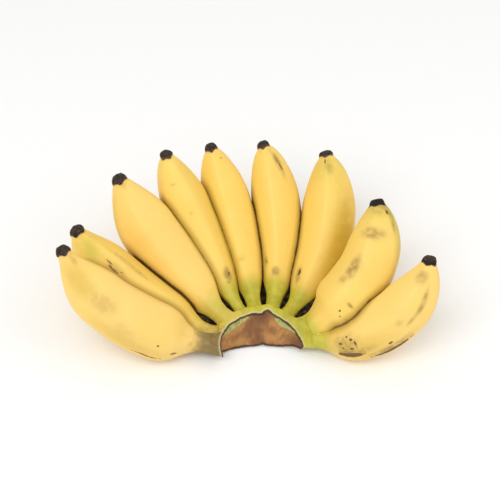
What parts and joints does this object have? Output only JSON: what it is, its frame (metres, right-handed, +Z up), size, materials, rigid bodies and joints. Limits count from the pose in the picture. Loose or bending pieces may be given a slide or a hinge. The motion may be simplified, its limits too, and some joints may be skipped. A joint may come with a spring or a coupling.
{
  "type": "hand of bananas",
  "caption": "Fanned hand of short, plump yellow bananas with green necks and dried black tips, joined at a cut brown crown, lying on its bellies.",
  "frame": {"origin": "on the surface that the hand lies on, under the middle of its box", "axes": "+Z up; the hollow cut face of the crown looks toward -Y and up; +X to the viewer's right when the cut face is seen from the front"},
  "size_m": [0.2676, 0.1636, 0.0949],
  "materials": {
    "banana_skin": "waxy yellow peel, green at the necks, dried black at the tips and brown on the cut face"
  },
  "bodies": {
    "root": {"banana_hand": "banana_skin"}
  },
  "joints": []
}
